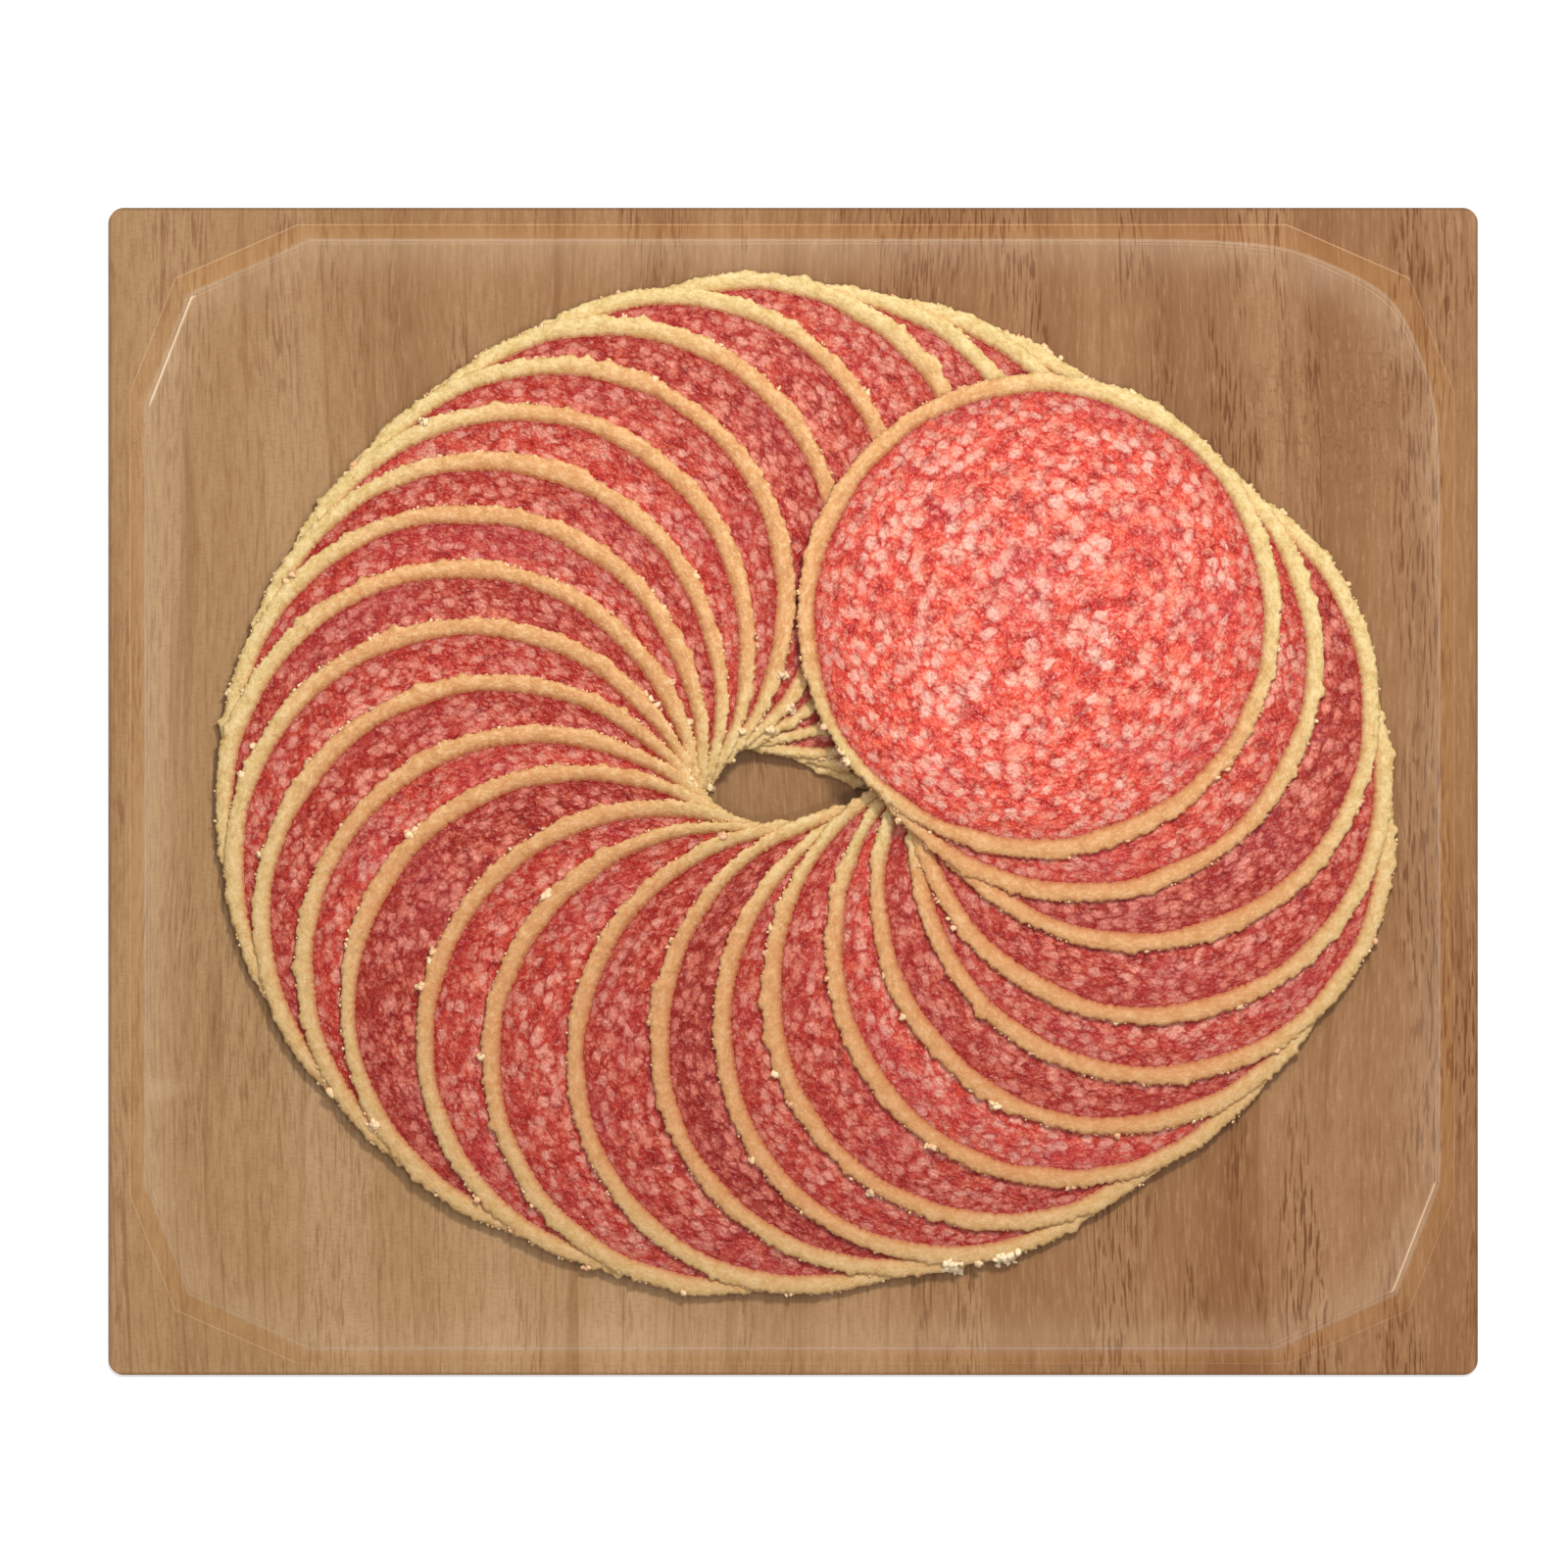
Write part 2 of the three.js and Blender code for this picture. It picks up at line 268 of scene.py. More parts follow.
def meat_material():
    """Bits of pale fat 1-2 mm across in a red, finely threaded mass."""
    nodes = Nodes("meat")
    place = nodes.grain_place()
    inputs = {"Vector": place, "Scale": 420.0, "Detail": 2.0}
    wobble = nodes.new("TexNoise", inputs, noise_dimensions="2D")
    wobble = nodes.vector("MULTIPLY_ADD", wobble.outputs["Color"], (0.0014,) * 3, (-0.0007,) * 3)
    warped = nodes.vector("ADD", place, wobble)
    dark_slice = nodes.attribute("slice_tone")

    # Fat: large soft bits with small ones between them, some pale pink and some coral.
    large, large_tone = nodes.bits(warped, 375.0, 0.2, 0.58)
    small, small_tone = nodes.bits(warped, 760.0, 0.12, 0.56)
    cluster = nodes.noise(place, 210.0, 3.0, 0.7)
    lack = nodes.span(cluster, 0.36, 0.62, 0.8, -0.15)
    large_share = nodes.span(nodes.math("SUBTRACT", large_tone, lack), -0.25, 0.35)
    small_share = nodes.span(nodes.math("SUBTRACT", small_tone, lack), -0.1, 0.45, 0.0, 0.75)
    large = nodes.math("MULTIPLY", large, large_share)
    small = nodes.math("MULTIPLY", small, small_share)
    fat = nodes.math("MAXIMUM", large, small)
    fat_colour = nodes.mix(large_tone, srgb(234, 138, 108), srgb(241, 184, 165))
    fat_colour = nodes.mix(dark_slice, fat_colour, srgb(221, 110, 88))

    # Lean: coral to red in clouds, with dark threads.
    cloud = nodes.noise(place, 330.0, 3.0, 0.7)
    lean = nodes.ramp(
        cloud,
        (0.3, srgb(158, 18, 12)), (0.43, srgb(196, 38, 26)),
        (0.56, srgb(222, 70, 50)), (0.7, srgb(240, 106, 80)),
    )
    lean = nodes.mix(dark_slice, lean, srgb(108, 0, 0))
    colour = nodes.mix(nodes.math("MULTIPLY", fat, 0.92), lean, fat_colour)
    threads = nodes.noise(warped, 620.0, 2.0, 0.6)
    threads = nodes.math("ABSOLUTE", nodes.math("SUBTRACT", threads, 0.5))
    patchy = nodes.span(cloud, 0.66, 0.42, 0.3, 1.0)
    threads = nodes.math("MULTIPLY", nodes.span(threads, 0.0, 0.035, 0.8, 0.0), patchy)
    colour = nodes.mix(threads, colour, nodes.mix(dark_slice, srgb(164, 14, 12), srgb(96, 0, 0)))
    fine = nodes.noise(place, 2500.0, 2.0, 0.7)
    colour = nodes.mix(nodes.span(fine, 0.55, 0.72, 0.0, 0.34), colour, srgb(164, 20, 14))
    paling = nodes.span(dark_slice, 0.0, 0.5, 0.36, 0.16)
    colour = nodes.mix(nodes.span(fine, 0.44, 0.28, 0.0, paling), colour, srgb(244, 190, 166))

    # Wide patches lean to purple and a thin dark line runs along the crust. Painted shade makes the
    # meat a little darker in the pack's lower half, where less light falls.
    region = nodes.noise(place, 55.0, 1.0)
    colour = nodes.mix(nodes.span(region, 0.52, 0.74, 0.0, 0.22), colour, srgb(176, 62, 78))
    broken = nodes.span(fine, 0.3, 0.6, 0.55, 1.0)
    line = nodes.math("MULTIPLY", nodes.attribute("near_crust"), broken)
    colour = nodes.mix(line, colour, srgb(146, 22, 10))
    colour = nodes.mix(nodes.span(nodes.along(), 0.0, -0.06, 0.0, 0.16), colour, srgb(120, 6, 8))

    ripples = nodes.noise(warped, 860.0, 1.0)
    height = nodes.math("MULTIPLY_ADD", fine, 0.16, ripples)
    nodes.set(
        Base_Color=colour,
        Roughness=0.2,
        Normal=nodes.bump(height, 0.0005, 0.8),
        Specular_IOR_Level=0.24,
    )
    return nodes.material


def crust_material():
    """A coat of fine crumbs: yellower where it faces out of the ring, tan where it crosses it."""
    nodes = Nodes("crust")
    place = nodes.grain_place()
    cloud = nodes.noise(place, 330.0, 2.0, 0.6)
    grain = nodes.noise(place, 2300.0, 2.0, 0.7)
    clods = nodes.noise(place, 950.0, 2.0, 0.6)
    tan = nodes.ramp(
        cloud,
        (0.3, srgb(210, 148, 92)), (0.5, srgb(224, 165, 108)), (0.7, srgb(236, 184, 130)),
    )
    yellow = nodes.ramp(
        cloud,
        (0.3, srgb(213, 186, 118)), (0.5, srgb(227, 202, 138)), (0.7, srgb(239, 217, 158)),
    )
    colour = nodes.mix(nodes.attribute("open_side"), tan, yellow)
    colour = nodes.mix(nodes.span(grain, 0.5, 0.72, 0.0, 0.42), colour, srgb(202, 148, 88))
    colour = nodes.mix(nodes.span(grain, 0.44, 0.3, 0.0, 0.4), colour, srgb(246, 218, 166))
    colour = nodes.mix(nodes.span(clods, 0.5, 0.68, 0.0, 0.32), colour, srgb(196, 138, 74))
    colour = nodes.mix(nodes.span(clods, 0.46, 0.3, 0.0, 0.35), colour, srgb(250, 226, 172))
    # Painted shade: the crust browns and darkens in the pack's lower half, where less light falls.
    painted_lower_shade = nodes.span(nodes.along(), 0.03, -0.05, 0.0, 0.45)
    colour = nodes.mix(painted_lower_shade, colour, srgb(190, 128, 80))
    colour = nodes.mix(nodes.attribute("near_meat"), colour, srgb(176, 78, 36))
    height = nodes.math("MULTIPLY_ADD", clods, -1.0, grain)
    nodes.set(
        Base_Color=colour,
        Roughness=0.62,
        Normal=nodes.bump(height, 0.00034, 0.45),
        Specular_IOR_Level=0.3,
    )
    return nodes.material


def crumb_material():
    nodes = Nodes("crumb")
    inputs = {"Vector": nodes.position(), "Scale": 420.0, "Detail": 1.0}
    colour = nodes.ramp(
        nodes.new("TexNoise", inputs).outputs["Fac"],
        (0.36, srgb(230, 166, 124)), (0.5, srgb(236, 190, 138)), (0.64, srgb(243, 214, 166)),
    )
    colour = nodes.mix(nodes.attribute("pale"), colour, srgb(247, 226, 186))
    nodes.set(Base_Color=colour, Roughness=0.5, Specular_IOR_Level=0.5)
    return nodes.material


def backing_material():
    """A printed wood pattern, its grain along Y, lighter on the left and redder on the right."""
    nodes = Nodes("wood_print")
    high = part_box("backing")[1]
    place = nodes.position()
    across, along = nodes.new("SeparateXYZ", {0: place}).outputs[:2]
    drift = nodes.stretched_noise(place, 16, 8, 2.0)
    bent = nodes.new("CombineXYZ", {0: nodes.math("MULTIPLY", drift, 0.008)}).outputs[0]
    place = nodes.vector("ADD", place, bent)

    bands = nodes.stretched_noise(place, 70, 4, 3.0, 0.6)
    fibres = nodes.stretched_noise(place, 1800, 210, 3.0, 0.7)
    light = nodes.ramp(
        bands,
        (0.3, srgb(154, 115, 74)), (0.5, srgb(168, 131, 89)), (0.7, srgb(178, 142, 102)),
    )
    warm = nodes.ramp(
        bands,
        (0.3, srgb(132, 86, 48)), (0.5, srgb(146, 102, 62)), (0.7, srgb(161, 119, 80)),
    )
    slant = nodes.math("MULTIPLY_ADD", along, 0.36, across)
    side = nodes.span(nodes.math("MULTIPLY_ADD", drift, 0.05, slant), -0.04, 0.075)
    colour = nodes.mix(side, light, warm)
    colour = nodes.mix(nodes.span(fibres, 0.5, 0.7, 0.0, 0.34), colour, srgb(120, 74, 24))
    colour = nodes.mix(nodes.span(fibres, 0.46, 0.3, 0.0, 0.28), colour, srgb(190, 154, 114))
    weave = nodes.stretched_noise(place, 900, 2900, 1.0)
    colour = nodes.mix(nodes.span(weave, 0.5, 0.72, 0.0, 0.2), colour, srgb(130, 88, 50))
    veins = nodes.stretched_noise(place, 520, 14, 3.0, 0.6, 0.6)
    colour = nodes.mix(nodes.span(veins, 0.56, 0.7, 0.0, 0.42), colour, srgb(118, 72, 26))
    colour = nodes.mix(nodes.span(along, -0.06, 0.08, 0.0, 0.16), colour, srgb(116, 80, 44))

    # Dark pores: short dashes along the grain, thick in some bands and rare in others.
    pores = nodes.stretched_noise(place, 2300, 190, 2.0, 0.55)
    where = nodes.stretched_noise(place, 110, 18, 2.0, 0.6)
    dash = nodes.math("MULTIPLY", nodes.span(pores, 0.52, 0.62), nodes.span(where, 0.47, 0.6))
    dash = nodes.math("MULTIPLY", dash, nodes.span(side, 0.0, 1.0, 0.35, 0.9))
    colour = nodes.mix(dash, colour, srgb(104, 54, 8))

    # A patch of curly figure in the upper right corner.
    figure_x = nodes.math("SUBTRACT", across, FIGURE_CENTRE[0])
    figure_y = nodes.math("SUBTRACT", along, FIGURE_CENTRE[1])
    square_y = nodes.math("MULTIPLY", figure_y, figure_y)
    away = nodes.math("MULTIPLY_ADD", figure_x, figure_x, square_y)
    near = nodes.span(nodes.math("SQRT", away), 0.006, FIGURE_RADIUS, 1.0, 0.0)
    curls = nodes.stretched_noise(place, 900, 620, 3.0, 0.7, 1.2)
    curls = nodes.math("MULTIPLY", nodes.span(curls, 0.52, 0.66, 0.0, 0.7), near)
    colour = nodes.mix(curls, colour, srgb(120, 74, 32))

    # A darker line round the sheet's cut edge: painted shade along the edge.
    from_side = nodes.math("SUBTRACT", high.x, nodes.math("ABSOLUTE", across))
    from_end = nodes.math("SUBTRACT", high.y, nodes.math("ABSOLUTE", along))
    edge = nodes.span(nodes.math("MINIMUM", from_side, from_end), 0.00015, 0.0005, 0.55, 0.0)
    colour = nodes.mix(edge, colour, srgb(96, 66, 38))
    nodes.set(
        Base_Color=colour,
        Roughness=0.5,
        Normal=nodes.bump(fibres, 0.00004, 0.3),
        Specular_IOR_Level=0.2,
    )
    return nodes.material


def film_material():
    """Clear film, which shows by its haze: a share of white, the piece's own number at each point.

    It shows more where it is seen at a slant, as any clear sheet does. The walls are warmer. Some
    of the haze is painted light: highlights on two sides' shoulders and along a fold, hazier walls
    on the left, and a brighter foot line on seven sides.
    """
    nodes = Nodes("clear_film")
    slant = nodes.new("LayerWeight", {0: 0.5}).outputs["Facing"]
    warmth = nodes.attribute("warmth")
    most = nodes.span(warmth, 0.0, 1.0, *SLANT_HAZE)
    gloss = nodes.math("MULTIPLY", nodes.math("POWER", slant, 2.0), most)
    across, along = nodes.new("SeparateXYZ", {0: nodes.position()}).outputs[:2]
    # Painted highlight: a whiter streak where a small fold in the film would catch the light.
    off_fold = nodes.math("ABSOLUTE", nodes.math("SUBTRACT", along, FOLD_Y))
    breadth = nodes.span(across, *FOLD_ENDS, 1.0, 0.3)
    painted_fold_highlight = nodes.soft_span(nodes.math("DIVIDE", off_fold, breadth), 0.3 * MM, 3.2 * MM)
    painted_fold_highlight = nodes.math("MULTIPLY", painted_fold_highlight, nodes.span(across, *FOLD_ENDS, 0.11, 0.0))
    painted_fold_highlight = nodes.math("MULTIPLY", painted_fold_highlight, nodes.math("GREATER_THAN", across, FOLD_ENDS[0]))
    haze = nodes.math("ADD", nodes.attribute("haze"), painted_fold_highlight)
    nodes.set(
        Base_Color=nodes.mix(warmth, srgb(255, 226, 190), srgb(255, 176, 84)),
        Roughness=0.2,
        Alpha=nodes.math("ADD", haze, gloss, clamp=True),
    )
    return nodes.material


# ---------------------------------------------------------------- how the slices lie


def slice_places():
    """Each slice's middle and radius, from the frame."""
    places = []
    for name in SLICES:
        low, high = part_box(name)
        places.append(((low.x + high.x) / 2, (low.y + high.y) / 2, (high.x - low.x) / 2))
    return places


PLACES = slice_places()
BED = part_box("backing")[1].z
RING_X = sum(place[0] for place in PLACES) / len(PLACES)
RING_Y = sum(place[1] for place in PLACES) / len(PLACES)


def beyond_rim(index, x, y):
    """How far points lie outside a slice's rim, negative inside it."""
    cx, cy, radius = PLACES[index]
    return np.hypot(x - cx, y - cy) - radius


def lift(index, x, y):
    """How much a slice raises what lies on it: one layer over its disc, less and less outside."""
    share = np.clip(beyond_rim(index, x, y) / DRAPE_REACH, 0, 1)
    return LAYER_PITCH * 0.5 * (1 + np.cos(math.pi * share))


def underside(index, x, y):
    """The height of a slice's underside: the backing, and the lift of every slice before it."""
    return BED + SEAT_GAP + sum((lift(j, x, y) for j in range(index)), np.zeros_like(x))


def uncovered(index, x, y, margin=1.2 * MM):
    """1 where no later slice lies over a point, 0 where one does, with a short margin between."""
    free = np.ones_like(x)
    for later in range(index + 1, len(PLACES)):
        free = np.minimum(free, smooth_step(-0.4 * MM, margin, beyond_rim(later, x, y)))
    return free


def top_height(x, y):
    """The height of whatever lies uppermost at a point."""
    height = np.full_like(x, BED)
    for index in range(len(PLACES)):
        inside = beyond_rim(index, x, y) < 0
        height = np.where(inside, underside(index, x, y) + MEAT_THICKNESS, height)
    return height


# ---------------------------------------------------------------- slices


def rim_angles(index):
    """Angles round a slice: close together where its rim shows, wide apart under later slices."""
    cx, cy, radius = PLACES[index]
    fine = np.arange(RIM_STEPS) * 2 * math.pi / RIM_STEPS
    rim = cx + radius * np.cos(fine), cy + radius * np.sin(fine)
    shown = uncovered(index, *rim, 3 * MM) > 0
    spacing = np.where(shown, SHOWN_SPACING, HIDDEN_SPACING)
    passed = np.concatenate([[0], np.cumsum(2 * math.pi / RIM_STEPS * radius / spacing)])
    count = round(passed[-1])
    even = np.arange(count) * passed[-1] / count
    return np.interp(even, passed, np.append(fine, 2 * math.pi))


def crumbly(angles):
    """How far a crust's outer edge stands out: gentle waves, and small bumps like grated cheese."""
    edge = EDGE_WAVE * round_noise(angles, 3, 26, 0.6)
    edge = edge + EDGE_GRAIN * round_noise(angles, 60, 260, 0.1)
    for _ in range(EDGE_BUMPS):
        middle = rng.uniform(0, 2 * math.pi)
        half_width = rng.uniform(*BUMP_HALF_WIDTH)
        height = rng.uniform(*BUMP_HEIGHT)
        away = np.angle(np.exp(1j * (angles - middle)))
        edge += height * np.exp(-((away / half_width) ** 2))
    return edge


def slice_rings(index, angles, meat_rings):
    """The rings of points of one slice, from its top's middle round its edge to its underside."""
    cx, cy, radius = PLACES[index]
    cos, sin = np.cos(angles), np.sin(angles)
    rim_x, rim_y = cx + radius * cos, cy + radius * sin
    from_hole = np.hypot(rim_x - RING_X, (rim_y - RING_Y) * HOLE_WIDENESS)
    narrowing = HOLE_CRUST_SHARE + (1 - HOLE_CRUST_SHARE) * smooth_step(*HOLE_REACH, from_hole)
    outer = radius - EDGE_INSET + crumbly(angles)
    width = CRUST_WIDTH * narrowing + WIDTH_WAVE * round_noise(angles, 2, 24, 0.5)
    width += WIDTH_GRAIN * round_noise(angles, 60, 260, 0.1)
    inner = radius - width
    free = uncovered(index, rim_x, rim_y)
    bulge = COVERED_BULGE + (CRUST_BULGE - COVERED_BULGE) * free
    lumps = 1 + 0.08 * round_noise(angles, 8, 120, 0.3)

    rings = []

    def add(reach, above, meat, near_crust, near_meat):
        x, y = cx + reach * cos, cy + reach * sin
        rings.append({
            "x": x, "y": y, "z": underside(index, x, y) + above, "reach": reach,
            "meat": meat, "near_crust": near_crust, "near_meat": near_meat,
        })

    for ring in range(1, meat_rings + 1):
        share = ring / (meat_rings + 1)
        ripple = MEAT_RIPPLE * round_noise(angles, 10, 60, 0.2) * share
        near_crust = 0.3 * smooth_step(0.86, 1.0, share)
        add((inner - MEAT_EDGE) * share, MEAT_THICKNESS + ripple, True, near_crust, 0.0)
    add(inner - MEAT_EDGE, MEAT_THICKNESS - 0.02 * MM, True, 0.34, 0.0)
    add(inner - 0.35 * MM, MEAT_THICKNESS - 0.03 * MM, True, 0.5, 0.0)
    add(inner - 0.05 * MM, MEAT_THICKNESS - 0.03 * MM, True, 1.0, 0.0)
    for share, height in zip(CRUST_SHARES, CRUST_HEIGHTS):
        reach = inner + (outer - inner) * share
        level = MEAT_THICKNESS + bulge * height * (lumps if height > 0.5 else 1)
        level = level + CRUST_GRAIN * free * round_noise(angles, 60, 400, 0.1)
        add(reach, level, False, 0.0, 0.8 * math.exp(-share / 0.16))
    add(outer + 0.04 * MM, 0.12 * MM, False, 0.0, 0.0)
    add(outer - 0.02 * MM, -0.1 * MM, False, 0.0, 0.0)
    add(outer - 0.5 * MM, 0.0, False, 0.0, 0.0)
    add(inner, 0.0, False, 0.0, 0.5)
    add(inner * 0.55, 0.0, True, 0.0, 0.0)
    return rings


def open_side(x, y, index):
    """1 where a crust faces out of the ring or into its middle, 0 where it crosses the ring."""
    cx, cy, _ = PLACES[index]
    ring_x, ring_y = x - RING_X, y - RING_Y
    own_x, own_y = x - cx, y - cy
    away = np.hypot(ring_x, ring_y) * np.hypot(own_x, own_y) + 1e-12
    facing = smooth_step(0.72, 0.98, np.abs(ring_x * own_x + ring_y * own_y) / away)
    return np.maximum(facing, 0.8 * smooth_step(24 * MM, 10 * MM, np.hypot(ring_x, ring_y)))


def grain_of(index, angles, reach):
    """Where a slice's points lie in the grain: a stretch of its own, turned at random.

    The grain is squeezed towards the rim, as the filling packs there.
    """
    radius = PLACES[index][2]
    squeezed = reach + 0.8 * np.clip(reach / radius - 0.4, 0, 1) ** 2 * radius
    turned = angles + SLICE_TURNS[index]
    return np.column_stack([
        squeezed * np.cos(turned) + (index % 6) * GRAIN_STRETCH,
        squeezed * np.sin(turned) + (index // 6) * GRAIN_STRETCH,
        np.zeros(len(turned)),
    ])


def make_slice(index, meat, crust):
    """One slice as a closed mesh, with the numbers that its materials read at each point."""
    cx, cy, _ = PLACES[index]
    angles = rim_angles(index)
    sectors = len(angles)
    rings = slice_rings(index, angles, TOP_MEAT_RINGS if index == TOP_SLICE else MEAT_RINGS)
    middle_z = underside(index, np.array([cx]), np.array([cy]))[0]
    points = np.concatenate([np.column_stack([ring["x"], ring["y"], ring["z"]]) for ring in rings])
    points = np.vstack([points, (cx, cy, middle_z + MEAT_THICKNESS), (cx, cy, middle_z)])
    top_middle, under_middle = len(points) - 2, len(points) - 1

    here = np.arange(sectors)
    after = (here + 1) % sectors
    faces = [(top_middle, a, b) for a, b in zip(here, after)]
    kinds = [0] * sectors
    for row in range(len(rings) - 1):
        low, high = row * sectors, (row + 1) * sectors
        faces += np.column_stack([low + here, high + here, high + after, low + after]).tolist()
        both_meat = rings[row]["meat"] and rings[row + 1]["meat"]
        kinds += [0 if both_meat else 1] * sectors
    last = (len(rings) - 1) * sectors
    faces += [(last + a, under_middle, last + b) for a, b in zip(here, after)]
    kinds += [0] * sectors

    piece = mesh_object(f"cut_{index + 1:02d}", points, faces, [meat, crust], kinds)

    def each(key):
        return np.concatenate([np.full(sectors, ring[key]) for ring in rings] + [np.zeros(2)])

    add_attribute(piece, "near_crust", each("near_crust"))
    add_attribute(piece, "near_meat", each("near_meat"))
    add_attribute(piece, "open_side", open_side(points[:, 0], points[:, 1], index))
    add_attribute(piece, "slice_tone", np.full(len(points), SLICE_TONES[index]))
    grain = np.concatenate([grain_of(index, angles, ring["reach"]) for ring in rings])
    middle = grain_of(index, np.zeros(2), np.zeros(2))
    attribute = piece.data.attributes.new("grain", "FLOAT_VECTOR", "POINT")
    attribute.data.foreach_set("vector", np.vstack([grain, middle]).astype(np.float32).ravel())
    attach(piece, "root")
    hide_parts(SLICES[index])
    return piece


# How dark each slice's meat is, the top one least, and how far its grain is turned.
SLICE_TONES = np.clip(rng.normal(0.42, 0.12, len(PLACES)), 0.15, 0.7)
SLICE_TONES[TOP_SLICE] = 0.0
SLICE_TURNS = rng.uniform(0, 2 * math.pi, len(PLACES))


# ---------------------------------------------------------------- crumbs


# Crumbs below this radius are made of fewer faces.
SMALL_CRUMB = 0.26 * MM
BUNCHES = 15
EDGE_CRUMBS = 150
CLUMP_SPREAD = 0.105 * MM

# Clumps that stand out from the rims: x, y and how many crumbs, in millimetres.
CLUMPS = (
    (23.1, -69.8, 40), (31.1, -69.0, 40), (27.3, -69.3, 9), (-61.4, -48.6, 14), (-54.0, 54.0, 7),
    (-0.6, 16.6, 12), (0.5, 11.2, 12), (-3.9, 9.6, 9), (-7.2, 8.7, 8), (4.5, 9.6, 9), (6.6, 5.7, 8),
    (8.0, 4.5, 8), (-18.2, 15.7, 6), (-15.0, 10.1, 5), (-10.5, -6.5, 5), (-11.9, 0.5, 5),
    (15.5, -4.0, 4), (29.2, -46.4, 7), (19.8, -51.8, 5), (11.0, -58.8, 6), (-36.0, -15.3, 9),
    (-54.2, -22.5, 6), (-45.5, -38.6, 5), (-55.1, -28.2, 5), (-56.0, -6.3, 6), (-73.7, 32.0, 5),
    (-79.4, 2.0, 6), (-47.0, -60.4, 6), (-16.0, -73.0, 5),
)


def lump(radius):
    """One crumb as points and triangles: a small ball pushed out of round."""
    ball = bmesh.new()
    bmesh.ops.create_icosphere(ball, subdivisions=1 if radius < SMALL_CRUMB else 2, radius=1.0)
    points = np.array([v.co[:] for v in ball.verts])
    faces = np.array([[v.index for v in f.verts] for f in ball.faces])
    ball.free()
    waves = rng.normal(size=(5, 3)) * 3.2
    phases = rng.uniform(0, 2 * math.pi, 5)
    swell = 1 + 0.15 * np.sin(points @ waves.T + phases).sum(axis=1)
    swell = swell + rng.uniform(-0.12, 0.12, len(points))
    stretch = rng.uniform((0.7, 0.7, 0.45), (1.5, 1.2, 0.8))
    turn = rng.uniform(0, math.pi)
    cos, sin = math.cos(turn), math.sin(turn)
    turned = np.array([[cos, -sin, 0], [sin, cos, 0], [0, 0, 1]])
    return (points * swell[:, None] * stretch * radius) @ turned.T, faces


def onto_rim(x, y):
    """The point moved onto the outer edge of the nearest rim that shows, if one is near."""
    best, moved = 2.0 * MM, (x, y)
    for index, (cx, cy, radius) in enumerate(PLACES):
        away = math.hypot(x - cx, y - cy)
        share = (radius - 0.1 * MM) / away
        rim_x, rim_y = cx + (x - cx) * share, cy + (y - cy) * share
        shown = uncovered(index, np.array([rim_x]), np.array([rim_y]), 0.5 * MM)[0] > 0.9
        if shown and abs(away - radius) < best:
            best, moved = abs(away - radius), (rim_x, rim_y)
    return moved


def crumb_spots():
    """Where crumbs lie: x, y, z, radius and paleness.

    They lie in bunches and singly along the rims that show, and in the clumps.
    """
    spots = []

    def point_at(index, angle, reach):
        cx, cy, _ = PLACES[index]
        return np.array([cx + reach * math.cos(angle)]), np.array([cy + reach * math.sin(angle)])

    for index, (_, _, radius) in enumerate(PLACES):
        for _ in range(BUNCHES):
            bunch = rng.uniform(0, 2 * math.pi)
            for _ in range(rng.integers(1, 6)):
                angle = bunch + rng.normal() * 0.7 * MM / radius
                sizes = (0.16, 0.34) if rng.random() < 0.86 else (0.34, 0.6)
                size = rng.uniform(*sizes) * MM
                x, y = point_at(index, angle, radius + rng.uniform(-0.5, 0.0) * MM)
                if uncovered(index, x, y, 0.5 * MM)[0] > 0.9:
                    height = underside(index, x, y)[0] + MEAT_THICKNESS * rng.uniform(0.4, 1.2)
                    spots.append((x[0], y[0], height, size, rng.uniform(0.0, 0.4)))
        for _ in range(EDGE_CRUMBS):
            angle = rng.uniform(0, 2 * math.pi)
            x, y = point_at(index, angle, radius + rng.uniform(-0.45, -0.08) * MM)
            if uncovered(index, x, y, 0.5 * MM)[0] > 0.9:
                height = underside(index, x, y)[0] + MEAT_THICKNESS * rng.uniform(0.2, 1.0)
                size = rng.uniform(0.13, 0.25) * MM
                spots.append((x[0], y[0], height, size, rng.uniform(0.0, 0.3)))
    for clump_x, clump_y, count in CLUMPS:
        clump_x, clump_y = onto_rim(clump_x * MM, clump_y * MM)
        spread = CLUMP_SPREAD * math.sqrt(count)
        for _ in range(count):
            x = np.array([clump_x + rng.normal() * spread])
            y = np.array([clump_y + rng.normal() * spread * 0.6])
            size = rng.uniform(0.24, 0.5) * MM
            height = top_height(x, y)[0] + rng.uniform(0.2, 1.4) * size
            spots.append((x[0], y[0], height, size, min(1.0, count / 24)))
    return spots


def make_crumbs(material):
    """All the crumbs, as one mesh."""
    points, faces, pale, count = [], [], [], 0
    for x, y, z, size, paleness in crumb_spots():
        lump_points, lump_faces = lump(size)
        points.append(lump_points + (x, y, z))
        faces.append(lump_faces + count)
        pale.append(np.full(len(lump_points), paleness))
        count += len(lump_points)
    faces = np.concatenate(faces).tolist()
    piece = mesh_object("crumbs", np.concatenate(points), faces, [material])
    add_attribute(piece, "pale", np.concatenate(pale))
    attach(piece, "root")
    return piece


# ---------------------------------------------------------------- dome


# The dome's shape, as in the frame.
WALL_LEAN = 2.5 * MM
SHOULDER_INSET = 1.5 * MM
SHOULDER_DROP = 1.3 * MM
FLANGE_THICKNESS = 0.5 * MM
CORNER_CUT = 24.5 * MM
CORNER_POINT_X = 6.6 * MM
CORNER_POINT_Y = 7.8 * MM
FOOT_LENGTH = 193.4 * MM
FOOT_WIDTH = 166.3 * MM
FOOT_OFFSET = np.array((-0.15 * MM, -0.4 * MM))
PACK_CORNER_RADIUS = 2.2 * MM
CORNER_STEPS = 8
OUTLINE_STEPS = 24
